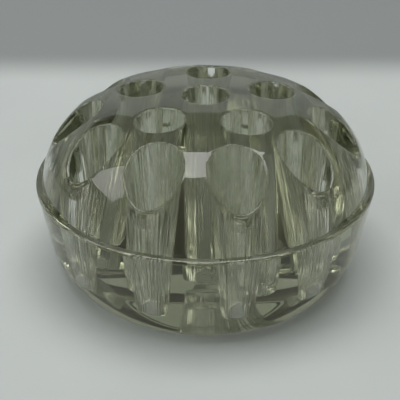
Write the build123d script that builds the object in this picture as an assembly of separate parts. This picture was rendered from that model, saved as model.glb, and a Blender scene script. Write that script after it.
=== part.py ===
"""Flower frog: a one-piece pressed-glass dome with two rings of stem holes and one in the centre.

Millimetres, +Z up. The origin is the middle of the base ring, on the surface that the frog stands on.
The glass is a solid of revolution: a flattened dome over a narrow ledge, a tapered wall under the
ledge, a rounded heel, and a shallow recess under the base. The stem holes are blind and upright. Each
is a plain taper, from a wide mouth that breaks through the dome down to a small flat floor near the base.
"""

from build123d import *
from math import cos, hypot, radians, sin, sqrt, tan
import os

# Body of revolution
ledge_diameter = 102.0          # widest line of the glass
ledge_height = 29.9             # top face of the ledge
ledge_width = 2.0               # flat step between the ledge's edge and the foot of the dome
ledge_edge_radius = 0.9
overall_height = 54.1
crown_radius = 245.0            # the top is nearly flat
shoulder_radius = 27.5          # the rounded shoulder between the top and the foot of the dome
wall_taper = 8.6                # degrees from upright, wider at the top
heel_height = 12.8              # where the straight wall ends and the rounded heel starts
base_diameter = 85.5            # outer edge of the flat ring that the frog stands on
base_edge_radius = 1.2
recess_diameter = 58.0          # shallow hollow under the base
recess_depth = 2.0

# Stem holes: rings
outer_hole_count = 11
outer_ring_diameter = 75.2
outer_ring_turn = 12.0          # degrees from the front (-Y) to the first hole, towards +X
inner_hole_count = 5
inner_ring_diameter = 40.4
inner_ring_turn = 33.6

# Stem holes: bore
outer_mouth_diameter = 15.2     # at the height of the dome over the hole's own axis
inner_mouth_diameter = 13.8
centre_mouth_diameter = 13.8
floor_diameter = 8.0
floor_thickness = 7.2           # glass between each hole's floor and the plane of the base
cutter_overrun = 3.0            # how far a hole's cutter runs on past the top of the dome

ledge_radius = ledge_diameter / 2
dome_foot_radius = ledge_radius - ledge_width
base_radius = base_diameter / 2
crown_centre_height = overall_height - crown_radius


def shoulder_centre():
    """Centre of the shoulder's arc: it touches the crown's arc and ends at the dome's foot."""
    reach = crown_radius - shoulder_radius
    across = dome_foot_radius
    up = ledge_height - crown_centre_height
    span = hypot(across, up)
    along = (reach**2 - shoulder_radius**2 + span**2) / (2 * span)
    aside = sqrt(reach**2 - along**2)
    return (
        (along * across - aside * up) / span,
        crown_centre_height + (along * up + aside * across) / span,
    )


def crown_edge():
    """Point where the crown's arc runs into the shoulder's."""
    across, height = shoulder_centre()
    rise = height - crown_centre_height
    stretch = crown_radius / hypot(across, rise)
    return across * stretch, crown_centre_height + rise * stretch


def dome_height(radius):
    """Height of the dome's surface at a distance from its axis."""
    if radius <= crown_edge()[0]:
        return crown_centre_height + sqrt(crown_radius**2 - radius**2)
    across, height = shoulder_centre()
    return height + sqrt(shoulder_radius**2 - (radius - across) ** 2)


def point_on_arc(centre, radius, start, end):
    """Point in the middle of a short arc between two points."""
    middle = ((start[0] + end[0]) / 2 - centre[0], (start[1] + end[1]) / 2 - centre[1])
    stretch = radius / hypot(*middle)
    return centre[0] + middle[0] * stretch, centre[1] + middle[1] * stretch


def body():
    """The glass before its holes: half the section, turned about the axis."""
    crown_end = crown_edge()
    crown_start = (0, overall_height)
    crown_middle = point_on_arc((0, crown_centre_height), crown_radius, crown_start, crown_end)
    dome_foot = (dome_foot_radius, ledge_height)
    shoulder_middle = point_on_arc(shoulder_centre(), shoulder_radius, crown_end, dome_foot)
    ledge_edge = (ledge_radius, ledge_height)
    heel_top = (ledge_radius - (ledge_height - heel_height) * tan(radians(wall_taper)), heel_height)
    base_edge = (base_radius, 0)
    recess_edge = (recess_diameter / 2, 0)
    recess_top = (0, recess_depth)
    wall_direction = (heel_top[0] - ledge_edge[0], heel_top[1] - ledge_edge[1])

    with BuildPart() as glass:
        with BuildSketch(Plane.XZ) as section:
            with BuildLine():
                ThreePointArc(crown_start, crown_middle, crown_end)
                ThreePointArc(crown_end, shoulder_middle, dome_foot)
                Line(dome_foot, ledge_edge)
                Line(ledge_edge, heel_top)
                TangentArc(heel_top, base_edge, tangent=wall_direction)
                Line(base_edge, recess_edge)
                TangentArc(recess_top, recess_edge, tangent=(1, 0))
                Line(recess_top, crown_start)
            make_face()
            fillet(section.vertices().sort_by_distance(ledge_edge)[0], ledge_edge_radius)
            fillet(section.vertices().sort_by_distance(base_edge)[0], base_edge_radius)
        revolve(axis=Axis.Z)
    return glass.part


def stem_hole(mouth_diameter, mouth_height):
    """Cutter for one hole, on the Z axis: a taper from its floor to its mouth and on past the dome."""
    height = overall_height + cutter_overrun - floor_thickness
    spread = (mouth_diameter - floor_diameter) / 2 / (mouth_height - floor_thickness)
    top_radius = floor_diameter / 2 + spread * height
    taper = Cone(floor_diameter / 2, top_radius, height, align=(Align.CENTER, Align.CENTER, Align.MIN))
    return Pos(0, 0, floor_thickness) * taper


def ring_places(count, diameter, turn):
    """Upright places spaced evenly round a ring, the first one turned from the front."""
    for index in range(count):
        angle = radians(turn + 360 * index / count)
        yield Location((diameter / 2 * sin(angle), -diameter / 2 * cos(angle), 0))


def flower_frog():
    """The finished piece: the body less its holes."""
    rings = (
        (outer_hole_count, outer_ring_diameter, outer_ring_turn, outer_mouth_diameter),
        (inner_hole_count, inner_ring_diameter, inner_ring_turn, inner_mouth_diameter),
        (1, 0, 0, centre_mouth_diameter),
    )
    glass = body()
    for count, diameter, turn, mouth_diameter in rings:
        cutter = stem_hole(mouth_diameter, dome_height(diameter / 2))
        for place in ring_places(count, diameter, turn):
            glass -= place * cutter
    return glass


os.makedirs("parts", exist_ok=True)
export_step(flower_frog(), "parts/glass_flower_frog.step")
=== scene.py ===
# %% [markdown]
# A flower frog is a heavy block that stands in a bowl of water and holds flower stems upright. This one is
# a single piece of clear pressed glass: hot glass was dropped into an iron mould, and a plunger with
# seventeen long pins came down on it and left the stem holes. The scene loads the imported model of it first,
# because every visible piece has to keep to the place and the size of that model.

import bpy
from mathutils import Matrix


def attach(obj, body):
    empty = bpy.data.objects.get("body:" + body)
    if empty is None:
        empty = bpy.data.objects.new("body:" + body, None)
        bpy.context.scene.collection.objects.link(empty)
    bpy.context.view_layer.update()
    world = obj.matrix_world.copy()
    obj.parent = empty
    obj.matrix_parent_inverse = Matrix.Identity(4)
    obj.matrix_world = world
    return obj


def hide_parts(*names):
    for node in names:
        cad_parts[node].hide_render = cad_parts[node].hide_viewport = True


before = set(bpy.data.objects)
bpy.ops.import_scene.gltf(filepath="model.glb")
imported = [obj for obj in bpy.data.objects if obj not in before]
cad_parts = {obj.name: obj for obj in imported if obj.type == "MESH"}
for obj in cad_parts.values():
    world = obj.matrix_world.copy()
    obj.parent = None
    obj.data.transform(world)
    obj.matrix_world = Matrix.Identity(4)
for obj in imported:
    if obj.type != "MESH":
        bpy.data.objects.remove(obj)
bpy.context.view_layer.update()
print("packed nodes:", sorted(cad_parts))

# %% [markdown]
# The glass is worked out in millimetres, as its maker would have it, and turned to metres only where a
# point is put into a mesh. These are the mould's own sizes: a nearly flat crown that runs into a rounded
# shoulder, a narrow ledge at the widest line, a wall that tapers in under the ledge, a rounded heel, and a
# shallow recess that leaves a flat ring to stand on.

# %% Sizes of the glass body
import math
import random

import bmesh
import bpy
import numpy as np
from mathutils import Vector

MM = 0.001

ledge_radius = 51.0
ledge_height = 29.9
ledge_width = 2.0
ledge_edge_radius = 0.9
overall_height = 54.1
crown_radius = 245.0
shoulder_radius = 27.5
wall_taper = math.radians(8.6)
heel_height = 12.8
base_radius = 42.75
base_edge_radius = 1.2
recess_radius = 29.0
recess_depth = 2.0

dome_foot_radius = ledge_radius - ledge_width
crown_centre = overall_height - crown_radius
print("widest line", 2 * ledge_radius, "mm, height", overall_height, "mm")

# %% [markdown]
# The dome's section is two arcs that touch. Where the first hands over to the second follows from their
# radii, so it is worked out here once. Everything that sits on the dome asks these two functions for the
# height and the slope, and so the mouths of the holes stay true to the surface that they break through.

# %% The dome's height and slope
reach = crown_radius - shoulder_radius
rise = ledge_height - crown_centre
span = math.hypot(dome_foot_radius, rise)
along = (reach**2 - shoulder_radius**2 + span**2) / (2 * span)
aside = math.sqrt(reach**2 - along**2)
shoulder_across = (along * dome_foot_radius - aside * rise) / span
shoulder_up = crown_centre + (along * rise + aside * dome_foot_radius) / span
crown_end = shoulder_across * crown_radius / math.hypot(shoulder_across, shoulder_up - crown_centre)


def dome_height(radius):
    """Height of the dome at each distance from its axis."""
    radius = np.asarray(radius, float)
    crown = crown_centre + np.sqrt(crown_radius**2 - np.minimum(radius, crown_end) ** 2)
    out = np.maximum(radius, crown_end) - shoulder_across
    shoulder = shoulder_up + np.sqrt(np.maximum(shoulder_radius**2 - out**2, 0))
    return np.where(radius <= crown_end, crown, shoulder)


def dome_slope(radius):
    """How fast the dome falls outwards at each distance from its axis."""
    radius = np.asarray(radius, float)
    inner = np.minimum(radius, crown_end)
    out = np.maximum(radius, crown_end) - shoulder_across
    crown = -inner / np.sqrt(crown_radius**2 - inner**2)
    shoulder = -out / np.sqrt(np.maximum(shoulder_radius**2 - out**2, 1e-6))
    return np.where(radius <= crown_end, crown, shoulder)


print("crown runs into shoulder", round(crown_end, 1), "mm from the axis")

# %% [markdown]
# The stem holes are plain tapers: eleven in the outer ring, five in the inner ring and one in the middle.
# A pressed hole has to be wider at its mouth than at its floor, or the pin would not come out again. Each
# mouth breaks through the dome along a curve that dips towards the outside, and that curve is found by
# going back and forth between the taper's radius at a height and the dome's height at that radius.

# %% Places and sizes of the stem holes
floor_radius = 4.0
floor_height = 7.2
floor_rounding = 0.6
rim_rounding = 0.55
columns = 180


def ring_of_holes(count, ring_diameter, turn, mouth_diameter):
    """Axis, mouth radius and mouth height of each hole in a ring, turned from the front (-Y)."""
    for index in range(count):
        angle = math.radians(turn + 360 * index / count)
        across = ring_diameter / 2
        mouth_height = float(dome_height(across))
        yield across * math.sin(angle), -across * math.cos(angle), mouth_diameter / 2, mouth_height


holes = [
    *ring_of_holes(11, 75.2, 12.0, 15.2),
    *ring_of_holes(5, 40.4, 33.6, 13.8),
    *ring_of_holes(1, 0.0, 0.0, 13.8),
]
column_angles = np.arange(columns) * 2 * math.pi / columns
column_across = np.stack([np.cos(column_angles), np.sin(column_angles)], -1)
print(len(holes), "stem holes")

# %% [markdown]
# Fire-polishing rounds the edge of each mouth. Along the mouth's curve the dome and the bore meet at a
# different angle in every direction, so the rounding is worked out column by column: a small circle that
# touches both surfaces. The floor of the hole meets the bore in a rounding of its own.
#
# Hot glass freezes against the pin with fine upright waves in it, the draw marks. They are what gives the
# holes their silky, streaked look, so the wider ones are real shape here: a few hundredths of a millimetre
# in and out, made of many sine waves round the bore that drift slowly as they go down.

# %% Rings of points down a stem hole
rim_steps = 5
wall_steps = 10
floor_steps = 3
mark_depth = 0.06


def draw_marks(rand, heights):
    """How far the bore's wall stands in or out, for each height and column."""
    offset = np.zeros((len(heights), columns))
    weight = 0.0
    for _ in range(30):
        waves = rand.randint(4, 56)
        phase = rand.random() * 2 * math.pi
        drift = rand.uniform(-0.05, 0.05)
        size = rand.random()
        weight += size**2 / 2
        offset += size * np.cos(waves * column_angles + phase + drift * heights[:, None])
    return offset * mark_depth / math.sqrt(weight)


def stem_hole_rings(hole, rand):
    """Radius and height of every ring of points down one hole, from its mouth to its floor."""
    hole_x, hole_y, mouth_radius, mouth_height = hole
    spread = (mouth_radius - floor_radius) / (mouth_height - floor_height)
    height = np.full(columns, mouth_height)
    for _ in range(60):
        radius = floor_radius + spread * (height - floor_height)
        from_axis = np.hypot(hole_x + radius * column_across[:, 0], hole_y + radius * column_across[:, 1])
        height = (height + dome_height(from_axis)) / 2
    radius = floor_radius + spread * (height - floor_height)
    x = hole_x + radius * column_across[:, 0]
    y = hole_y + radius * column_across[:, 1]
    from_axis = np.maximum(np.hypot(x, y), 1e-6)
    fall = dome_slope(from_axis) * (x * column_across[:, 0] + y * column_across[:, 1]) / from_axis
    outwards = np.stack([np.ones(columns), fall], -1)
    outwards /= np.linalg.norm(outwards, axis=1)[:, None]
    downwards = np.array([-spread, -1.0]) / math.hypot(spread, 1)
    meeting = np.arccos(np.clip(outwards @ downwards, -1, 1))
    between = outwards + downwards
    between /= np.linalg.norm(between, axis=1)[:, None]
    corner = np.stack([radius, height], -1)
    centre = corner + between * (rim_rounding / np.sin(meeting / 2))[:, None]
    touch = (rim_rounding / np.tan(meeting / 2))[:, None]
    start = corner + outwards * touch - centre
    end = corner + downwards * touch - centre
    turn = math.pi - meeting
    rings = []
    for step in range(rim_steps + 1):
        part = step / rim_steps
        first = (np.sin((1 - part) * turn) / np.sin(turn))[:, None]
        second = (np.sin(part * turn) / np.sin(turn))[:, None]
        rings.append(centre + first * start + second * end)
    top = rings[-1][:, 1]
    draft = math.atan(spread)
    reach_up = floor_rounding * math.tan((math.pi / 2 - draft) / 2)
    bottom = floor_height + reach_up * math.cos(draft)
    levels = np.linspace(float(top.mean()), bottom, wall_steps + 1)[1:]
    marks = draw_marks(rand, levels)
    for step in range(1, wall_steps + 1):
        part = step / wall_steps
        level = top + (bottom - top) * part
        fade = min(1, 4 * part) * min(1, 9 * (1 - part))
        radius = floor_radius + spread * (level - floor_height) + marks[step - 1] * fade
        rings.append(np.stack([radius, level], -1))
    centre_radius = floor_radius + spread * (bottom - floor_height) - floor_rounding * math.cos(draft)
    for step in range(1, floor_steps + 1):
        angle = draft - (math.pi / 2 + draft) * step / floor_steps
        radius = centre_radius + floor_rounding * math.cos(angle)
        level = floor_height + floor_rounding * (1 + math.sin(angle))
        rings.append(np.stack([np.full(columns, radius), np.full(columns, level)], -1))
    rings.append(np.stack([np.full(columns, centre_radius / 2), np.full(columns, floor_height)], -1))
    return rings


rand = random.Random(7)
hole_rings = [stem_hole_rings(hole, rand) for hole in holes]
print(len(hole_rings[0]), "rings of points in each hole")

# %% [markdown]
# The top of the glass is one sheet with seventeen openings. It starts flat: a circle for its outer edge and
# a circle for each mouth, all in one mesh, with the mouths' points moved to the outlines found above. Clear
# glass is unforgiving, because a long splinter of a triangle shows as a crease in everything seen through
# it. So the sheet is filled, and then its long edges are split and its triangles evened out in turns.

# %% Outlines of the dome's sheet
sheet_radius = 46.6
round_columns = 240


def deselect_all():
    """Leave edit mode and clear the selection, because an operator acts on all that is selected."""
    if bpy.context.object and bpy.context.object.mode != "OBJECT":
        bpy.ops.object.mode_set(mode="OBJECT")
    bpy.ops.object.select_all(action="DESELECT")


deselect_all()
bpy.ops.mesh.primitive_circle_add(vertices=round_columns, radius=sheet_radius * MM, location=(0, 0, 0))
frog = bpy.context.object
frog.name = "pressed_glass_frog"
frog.data.name = "pressed_glass_frog"
bpy.ops.object.mode_set(mode="EDIT")
for hole in holes:
    place = (hole[0] * MM, hole[1] * MM, 0)
    bpy.ops.mesh.primitive_circle_add(vertices=columns, radius=hole[2] * MM, location=place)
glass = bmesh.from_edit_mesh(frog.data)
hole_tag = glass.verts.layers.int.new("hole")
column_tag = glass.verts.layers.int.new("column")
glass.verts.ensure_lookup_table()
for vert in glass.verts[:round_columns]:
    column = round(math.atan2(vert.co.y, vert.co.x) / (2 * math.pi) * round_columns)
    angle = column * 2 * math.pi / round_columns
    vert.co = Vector((sheet_radius * math.cos(angle), sheet_radius * math.sin(angle), 0)) * MM
for number, hole in enumerate(holes):
    first = round_columns + number * columns
    outline = hole_rings[number][0]
    for vert in glass.verts[first:first + columns]:
        angle = math.atan2(vert.co.y - hole[1] * MM, vert.co.x - hole[0] * MM)
        column = round(angle / (2 * math.pi) * columns) % columns
        vert[hole_tag] = number + 1
        vert[column_tag] = column
        across = column_across[column] * outline[column, 0]
        vert.co = Vector((hole[0] + across[0], hole[1] + across[1], 0)) * MM
bmesh.update_edit_mesh(frog.data)
print(len(frog.data.vertices), "points in the outlines")

# %% [markdown]
# Fill spans the circles with triangles, but it adds no points inside, so the first triangles are long.
# Five rounds follow, with limits from six millimetres down to one and a half: split every inner edge that is
# longer than the limit, turn the quads back to triangles, swap edges where that gives rounder triangles, and
# relax the inner points between their neighbours. The outlines themselves never move.

# %% Fill the sheet and even it out
def select_only(wanted_edges=(), wanted_verts=()):
    """Select these edges or points of the mesh in edit mode, and nothing else."""
    for face in glass.faces:
        face.select_set(False)
    for edge in glass.edges:
        edge.select_set(False)
    for vert in glass.verts:
        vert.select_set(False)
    for edge in wanted_edges:
        edge.select_set(True)
    for vert in wanted_verts:
        vert.select_set(True)
    bmesh.update_edit_mesh(frog.data)


bpy.ops.mesh.select_mode(type="EDGE")
bpy.ops.mesh.select_all(action="SELECT")
bpy.ops.mesh.fill(use_beauty=True)
for limit in (6.0, 3.0, 2.0, 1.5, 1.5):
    bpy.ops.mesh.select_mode(type="EDGE")
    glass = bmesh.from_edit_mesh(frog.data)
    long_edges = [edge for edge in glass.edges if edge.calc_length() > limit * MM and not edge.is_boundary]
    select_only(long_edges)
    bpy.ops.mesh.subdivide(number_cuts=1)
    bpy.ops.mesh.select_all(action="SELECT")
    bpy.ops.mesh.quads_convert_to_tris(quad_method="SHORTEST_DIAGONAL", ngon_method="BEAUTY")
    for _ in range(3):
        bpy.ops.mesh.select_all(action="SELECT")
        bpy.ops.mesh.beautify_fill(angle_limit=math.pi)
        bpy.ops.mesh.select_mode(type="VERT")
        glass = bmesh.from_edit_mesh(frog.data)
        select_only(wanted_verts=[vert for vert in glass.verts if not vert.is_boundary])
        bpy.ops.mesh.vertices_smooth(factor=0.5, repeat=2)
        bpy.ops.mesh.select_mode(type="EDGE")
glass = bmesh.from_edit_mesh(frog.data)
print("sheet:", len(glass.faces), "triangles, longest edge",
      round(max(edge.calc_length() for edge in glass.edges) / MM, 2), "mm")

# %% [markdown]
# Now the flat sheet is lifted onto the dome: every point goes up to the dome's height at its distance from
# the axis. The points on a mouth's outline take the height that was worked out with their rounding.

# %% Lift the sheet onto the dome
hole_tag = glass.verts.layers.int["hole"]
column_tag = glass.verts.layers.int["column"]
for vert in glass.verts:
    if vert[hole_tag] and vert.is_boundary:
        vert.co.z = hole_rings[vert[hole_tag] - 1][0][vert[column_tag], 1] * MM
    else:
        vert.co.z = float(dome_height(math.hypot(vert.co.x, vert.co.y) / MM)) * MM
bmesh.update_edit_mesh(frog.data)
print("top of the sheet", round(max(vert.co.z for vert in glass.verts) / MM, 2), "mm")

# %% [markdown]
# Each hole is drawn down from its mouth, as a potter pulls a wall: the loop of edges is extruded, and the
# new loop is set to the next ring of points. All seventeen go down together, one ring at a time. Extruding
# copies each point's tags to the new point, and so it still knows its hole and its column. Merging the last
# small loops, each to a single point, closes the floors without a gap.

# %% Draw the stem holes down
glass = bmesh.from_edit_mesh(frog.data)
hole_tag = glass.verts.layers.int["hole"]
select_only([edge for edge in glass.edges if edge.is_boundary and edge.verts[0][hole_tag]])
for step in range(1, len(hole_rings[0])):
    bpy.ops.mesh.extrude_edges_indiv()
    glass = bmesh.from_edit_mesh(frog.data)
    hole_tag = glass.verts.layers.int["hole"]
    column_tag = glass.verts.layers.int["column"]
    for vert in glass.verts:
        if vert.select:
            number = vert[hole_tag] - 1
            column = vert[column_tag]
            radius, level = hole_rings[number][step][column]
            across = column_across[column] * radius
            vert.co = Vector((holes[number][0] + across[0], holes[number][1] + across[1], level)) * MM
    bmesh.update_edit_mesh(frog.data)
bpy.ops.mesh.extrude_edges_indiv()
bpy.ops.mesh.merge(type="COLLAPSE")
print("with its holes:", len(bmesh.from_edit_mesh(frog.data).faces), "faces")

# %% [markdown]
# Everything below the sheet is round, so it is turned as on a lathe. Half the section is laid out as a chain
# of points, from the sheet's edge down the shoulder, over the ledge, down the tapered wall, round the heel
# and in under the base to the middle of the recess. Spin sweeps the chain once round the axis in as many
# steps as the sheet's edge has points, and merging by distance sews the two together.

# %% Section of the outside, from the sheet's edge to the middle of the recess
def arc_points(centre_across, centre_up, radius, start, end, count):
    """Points along an arc of the section, without its first; angles are measured up from level."""
    for step in range(1, count + 1):
        angle = start + (end - start) * step / count
        yield centre_across + radius * math.cos(angle), centre_up + radius * math.sin(angle)


section = [(sheet_radius, float(dome_height(sheet_radius)))]
edge_angle = math.atan2(section[0][1] - shoulder_up, sheet_radius - shoulder_across)
foot_angle = math.atan2(ledge_height - shoulder_up, dome_foot_radius - shoulder_across)
section += arc_points(shoulder_across, shoulder_up, shoulder_radius, edge_angle, foot_angle, 12)
ledge_turn = ledge_edge_radius / math.tan((math.pi / 2 - wall_taper) / 2)
section.append((dome_foot_radius + 0.2, ledge_height))
section.append((ledge_radius - ledge_turn, ledge_height))
section += arc_points(ledge_radius - ledge_turn, ledge_height - ledge_edge_radius, ledge_edge_radius,
                      math.pi / 2, -wall_taper, 10)
wall_top = section[-1]
wall_foot = (ledge_radius - (ledge_height - heel_height) * math.tan(wall_taper), heel_height)
for step in range(1, 9):
    section.append((wall_top[0] + (wall_foot[0] - wall_top[0]) * step / 8,
                    wall_top[1] + (wall_foot[1] - wall_top[1]) * step / 8))
heel_chord = math.hypot(base_radius - wall_foot[0], heel_height)
heel_lean = math.atan2(wall_foot[0] - base_radius, heel_height) - wall_taper
heel_radius = heel_chord / (2 * math.sin(heel_lean))
heel_across = wall_foot[0] - heel_radius * math.cos(wall_taper)
heel_up = heel_height + heel_radius * math.sin(wall_taper)
heel_reach = heel_radius - base_edge_radius
base_across = heel_across + math.sqrt(heel_reach**2 - (heel_up - base_edge_radius) ** 2)
heel_end = math.atan2(base_edge_radius - heel_up, base_across - heel_across)
section += arc_points(heel_across, heel_up, heel_radius, -wall_taper, heel_end, 14)
section += arc_points(base_across, base_edge_radius, base_edge_radius, heel_end, -math.pi / 2, 7)
recess_round = (recess_radius**2 + recess_depth**2) / (2 * recess_depth)
recess_turn = math.asin(recess_radius / recess_round)
section.append((recess_radius + 0.25, 0))
section.append((recess_radius, 0))
section += arc_points(0, recess_depth - recess_round, recess_round, math.pi / 2 - recess_turn, math.pi / 2, 9)
print(len(section), "points in the section")

# %% Turn the outside and sew it to the sheet
glass = bmesh.from_edit_mesh(frog.data)
chain = [glass.verts.new(Vector((across, 0, up)) * MM) for across, up in section]
select_only([glass.edges.new(pair) for pair in zip(chain, chain[1:])])
bpy.ops.mesh.spin(steps=round_columns, angle=2 * math.pi, center=(0, 0, 0), axis=(0, 0, 1))
bpy.ops.mesh.select_mode(type="VERT")
bpy.ops.mesh.select_all(action="SELECT")
bpy.ops.mesh.remove_doubles(threshold=0.00001)
bpy.ops.mesh.select_all(action="SELECT")
bpy.ops.mesh.normals_make_consistent(inside=False)
glass = bmesh.from_edit_mesh(frog.data)
open_edges = sum(1 for edge in glass.edges if len(edge.link_faces) != 2)
print("closed glass:", round(glass.calc_volume() / MM**3 / 1000, 1), "cubic cm,", open_edges, "open edges")

# %% [markdown]
# Fire-polished glass has no hard edges but one: the crease where the foot of the dome meets the flat of the
# ledge. Shading by angle keeps that one crisp and everything else smooth. A field of marks is then stored on
# the points, for the glass itself to read later: which way a point of a bore faces, and how high it is.

# %% Smooth shading and the marks' own coordinates
glass.verts.layers.int.remove(glass.verts.layers.int["hole"])
glass.verts.layers.int.remove(glass.verts.layers.int["column"])
bmesh.update_edit_mesh(frog.data)
bpy.ops.object.mode_set(mode="OBJECT")
deselect_all()
bpy.context.view_layer.objects.active = frog
frog.select_set(True)
bpy.ops.object.shade_smooth_by_angle(angle=math.radians(40))
print("frog:", len(frog.data.vertices), "points,", len(frog.data.polygons), "faces")

# %% Keep which way each point of a bore faces
outside_bore = 0.25
below_floor = 0.5
marks_stretch = 0.004
marks_shift = 3.7
frog.data.attributes.new("bore_marks", "FLOAT_VECTOR", "POINT")
frog.data.attributes.new("in_bore", "FLOAT", "POINT")
places = np.empty(len(frog.data.vertices) * 3)
frog.data.vertices.foreach_get("co", places)
places = places.reshape(-1, 3) / MM
towards = np.zeros_like(places)
inside = np.zeros(len(places))
for number, (hole_x, hole_y, mouth_radius, mouth_height) in enumerate(holes):
    offset = places[:, :2] - (hole_x, hole_y)
    distance = np.hypot(offset[:, 0], offset[:, 1])
    spread = (mouth_radius - floor_radius) / (mouth_height - floor_height)
    bore_radius = floor_radius + spread * (places[:, 2] - floor_height)
    near = (distance < bore_radius + outside_bore) & (places[:, 2] > floor_height - below_floor)
    towards[near, :2] = offset[near] / np.maximum(distance[near], 0.01)[:, None]
    towards[near, 2] = places[near, 2] * marks_stretch + number * marks_shift
    inside[near] = 1.0
frog.data.attributes["bore_marks"].data.foreach_set("vector", towards.ravel())
frog.data.attributes["in_bore"].data.foreach_set("value", inside)
print("points on the bores:", int(inside.sum()))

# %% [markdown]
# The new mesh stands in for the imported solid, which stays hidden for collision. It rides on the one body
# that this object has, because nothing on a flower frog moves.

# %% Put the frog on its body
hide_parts("glass_flower_frog")
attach(frog, "root")

# %% [markdown]
# Two helpers serve every material: one turns a colour as it is read off a screen into the linear light that
# Blender mixes, and one adds a node with its settings and links in a single line.

# %% Helpers for colours and nodes
def colour(hex_code):
    """An sRGB colour such as "#c8ccc4", as Blender's linear red, green, blue and alpha."""
    channels = [int(hex_code[place:place + 2], 16) / 255 for place in (1, 3, 5)]
    return tuple(c / 12.92 if c <= 0.04045 else ((c + 0.055) / 1.055) ** 2.4 for c in channels) + (1.0,)


def add_node(tree, kind, settings=None, links=None):
    """Add a node, set its properties and socket values, and link sockets to other nodes' outputs."""
    node = tree.nodes.new(kind)
    for name, value in (settings or {}).items():
        if name in node.inputs:
            node.inputs[name].default_value = value
        else:
            setattr(node, name, value)
    for name, source in (links or {}).items():
        tree.links.new(source, node.inputs[name])
    return node


print("glass tint in linear light:", [round(c, 3) for c in colour("#d3d6c2")])

# %% [markdown]
# Clear pressed soda-lime glass. Its surface was fire-polished, so it has no grain at all and mirrors sharply,
# and its index of refraction is 1.52. What gives it away as old pressed ware is inside: iron in the sand
# leaves a faint olive grey, which is nothing in a thin wall and plain to see through ten centimetres. So the
# tint is an absorption in the volume and not a colour on the surface. Draw marks too fine to be shape are a
# bump in the bores, fourteen to the radian, stretched far down the hole.

# %% Clear pressed glass
glass_material = bpy.data.materials.new("clear_pressed_glass")
glass_material.use_nodes = True
tree = glass_material.node_tree
tree.nodes.clear()
facing = add_node(tree, "ShaderNodeAttribute", {"attribute_name": "bore_marks"})
in_bore = add_node(tree, "ShaderNodeAttribute", {"attribute_name": "in_bore"})
fine_marks = add_node(tree, "ShaderNodeTexNoise", {"Scale": 14.0, "Detail": 2.0, "Roughness": 0.6},
                      {"Vector": facing.outputs["Vector"]})
marks_height = add_node(tree, "ShaderNodeMath", {"operation": "MULTIPLY"},
                        {0: fine_marks.outputs["Fac"], 1: in_bore.outputs["Fac"]})
marks_bump = add_node(tree, "ShaderNodeBump", {"Strength": 0.8, "Distance": 0.0001},
                      {"Height": marks_height.outputs[0]})
surface = add_node(tree, "ShaderNodeBsdfPrincipled",
                   {"Base Color": colour("#ffffff"), "Roughness": 0.0, "IOR": 1.52,
                    "Transmission Weight": 1.0},
                   {"Normal": marks_bump.outputs["Normal"]})
tint = add_node(tree, "ShaderNodeVolumeAbsorption", {"Color": colour("#cfd2bf"), "Density": 32.0})
output = add_node(tree, "ShaderNodeOutputMaterial", None,
                  {"Surface": surface.outputs["BSDF"], "Volume": tint.outputs["Volume"]})
frog.data.materials.clear()
frog.data.materials.append(glass_material)
print("material:", glass_material.name)

# %% [markdown]
# The frog stands on a pale matt table top. Its colour holds painted shade: darker near the viewer, and grey
# from a soft line a little behind the frog. Table and wall are one sheet with a bend between them. The wall
# is out of the picture, but the flat base mirrors what stands thirty to fifty degrees up behind the glass. So
# the wall is pale low down, then brown, then olive grey, as of shelves. Glass shows only what it mirrors and
# bends.
#
# A Mix node keeps sockets for numbers and vectors as well, with the same names as those for colours. The
# colour ones are therefore reached by number.

# %% Table top and backdrop
bend_start = 0.30
bend_radius = 0.12
table_height = -0.00008
deselect_all()
bpy.ops.mesh.primitive_plane_add(size=1, location=(0, 0, 0))
table = bpy.context.object
table.name = "table_top"
bpy.ops.object.mode_set(mode="EDIT")
sheet = bmesh.from_edit_mesh(table.data)
for vert in sheet.verts:
    vert.co = Vector((2.0 if vert.co.x > 0 else -2.0, bend_start if vert.co.y > 0 else -1.6, table_height))
for face in sheet.faces:
    face.select_set(False)
for edge in sheet.edges:
    edge.select_set(all(vert.co.y > 0 for vert in edge.verts))
bmesh.update_edit_mesh(table.data)
bend_centre = (0, bend_start, bend_radius + table_height)
bpy.ops.mesh.spin(steps=24, angle=-math.pi / 2, center=bend_centre, axis=(1, 0, 0))
sheet = bmesh.from_edit_mesh(table.data)
back_edge = max(sheet.edges, key=lambda edge: edge.verts[0].co.z + edge.verts[1].co.z)
for edge in sheet.edges:
    edge.select_set(False)
back_edge.select_set(True)
bmesh.update_edit_mesh(table.data)
bpy.ops.mesh.extrude_edges_indiv()
bpy.ops.transform.translate(value=(0, 0, 1.2))
deselect_all()
table.select_set(True)
bpy.context.view_layer.objects.active = table
bpy.ops.object.shade_smooth()
table_top_edge = max(vert.co.z for vert in table.data.vertices)
print("table top:", len(table.data.polygons), "faces, top edge at", round(table_top_edge, 2), "m")

# %% Table top colour, with painted shade
MIX_FACTOR = 0
MIX_FIRST = 6
MIX_SECOND = 7
MIX_RESULT = 2
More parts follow.
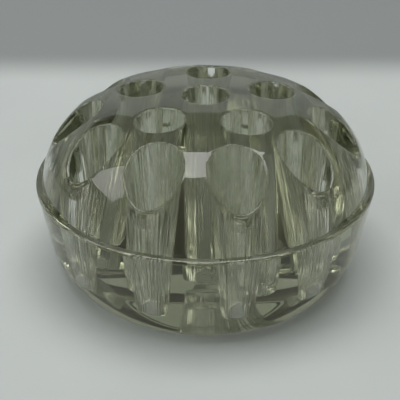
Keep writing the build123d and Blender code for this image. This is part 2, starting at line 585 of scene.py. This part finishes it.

# Each tone takes over along one axis, between two places in metres. The first two are painted shade.
table_tones_and_painted_shade = (
    # painted shade: the table top turns grey beyond a soft line behind the frog
    ("Y", 0.144, 0.186, "SMOOTHSTEP", "#828686"),
    # painted shade: the table top turns darker towards the viewer
    ("Y", -0.08, -0.22, "LINEAR", "#8e9291"),
    ("Z", 0.04, 0.12, "LINEAR", "#dfe1e2"),
    ("Z", 0.295, 0.305, "LINEAR", "#3b3519"),
    ("Z", 0.40, 0.46, "LINEAR", "#6d6c5e"),
)
table_material = bpy.data.materials.new("matt_table_top")
table_material.use_nodes = True
tree = table_material.node_tree
tree.nodes.clear()
where = add_node(tree, "ShaderNodeTexCoord")
apart = add_node(tree, "ShaderNodeSeparateXYZ", None, {"Vector": where.outputs["Object"]})
mottle = add_node(tree, "ShaderNodeTexNoise", {"Scale": 18.0, "Detail": 5.0},
                  {"Vector": where.outputs["Object"]})
paper = add_node(tree, "ShaderNodeMix", {"data_type": "RGBA"})
paper.inputs[MIX_FIRST].default_value = colour("#b0b5b4")
paper.inputs[MIX_SECOND].default_value = colour("#bcc1c0")
tree.links.new(mottle.outputs["Fac"], paper.inputs[MIX_FACTOR])
toned = paper.outputs[MIX_RESULT]
for axis, start, end, blend, tone in table_tones_and_painted_shade:
    share = add_node(tree, "ShaderNodeMapRange",
                     {"From Min": start, "From Max": end, "interpolation_type": blend},
                     {"Value": apart.outputs[axis]})
    layer = add_node(tree, "ShaderNodeMix", {"data_type": "RGBA"})
    layer.inputs[MIX_SECOND].default_value = colour(tone)
    tree.links.new(share.outputs["Result"], layer.inputs[MIX_FACTOR])
    tree.links.new(toned, layer.inputs[MIX_FIRST])
    toned = layer.outputs[MIX_RESULT]
finish = add_node(tree, "ShaderNodeBsdfPrincipled", {"Roughness": 0.7}, {"Base Color": toned})
add_node(tree, "ShaderNodeOutputMaterial", None, {"Surface": finish.outputs["BSDF"]})
table.data.materials.append(table_material)
print("material:", table_material.name)

# %% [markdown]
# The light is soft: a wide lamp overhead, a smaller one from the left, and an even grey room. Glass shows
# its shape by what it mirrors and bends, so it is the edges of the lamps, and the difference between pale
# table and grey room, that draw the streaks in the holes.

# %% Lamps and room
def soft_lamp(name, place, turn, size, power):
    """A rectangular lamp; the turn is in degrees about X, Y and Z, and an unturned lamp shines down."""
    light = bpy.data.lights.new(name, "AREA")
    light.shape = "RECTANGLE"
    light.size, light.size_y = size
    light.energy = power
    lamp = bpy.data.objects.new(name, light)
    lamp.location = place
    lamp.rotation_euler = [math.radians(angle) for angle in turn]
    bpy.context.collection.objects.link(lamp)
    return lamp


soft_lamp("overhead_lamp", (0.0, 0.1, 1.2), (0, 0, 0), (1.0, 0.8), 12)
soft_lamp("left_lamp", (-1.0, -0.2, 0.8), (0, -50, 0), (0.6, 0.6), 3)
room = bpy.data.worlds.new("grey_room")
room.use_nodes = True
bpy.context.scene.world = room
room.node_tree.nodes["Background"].inputs["Color"].default_value = colour("#9b9c97")
room.node_tree.nodes["Background"].inputs["Strength"].default_value = 1.0

# %% [markdown]
# The camera looks down on the frog from the front, thirty degrees above level, and far enough away that the
# ledge fills nearly the whole width of the picture.

# %% Camera
camera = bpy.data.objects.new("camera", bpy.data.cameras.new("camera"))
bpy.context.collection.objects.link(camera)
camera.location = (-0.031 * ledge_radius * MM, -4.23 * ledge_radius * MM, 2.821 * ledge_radius * MM)
camera.rotation_euler = (math.pi / 2 - 0.526, 0, 0)
camera.data.lens = 72
camera.data.sensor_width = 36
camera.data.clip_start = 0.01
bpy.context.scene.camera = camera
print("camera stands", round(camera.location.length, 3), "m from the middle of the base")

# %% [markdown]
# Light has to cross many walls to get through the frog, in and out of one hole after another. Paths that
# are cut short turn black, so they are given enough bounces. The colours are shown as they are mixed.

# %% Light paths and colour
scene = bpy.context.scene
scene.view_settings.view_transform = "Standard"
scene.cycles.max_bounces = 32
scene.cycles.transmission_bounces = 32
scene.cycles.glossy_bounces = 16
print("bounces:", scene.cycles.max_bounces)
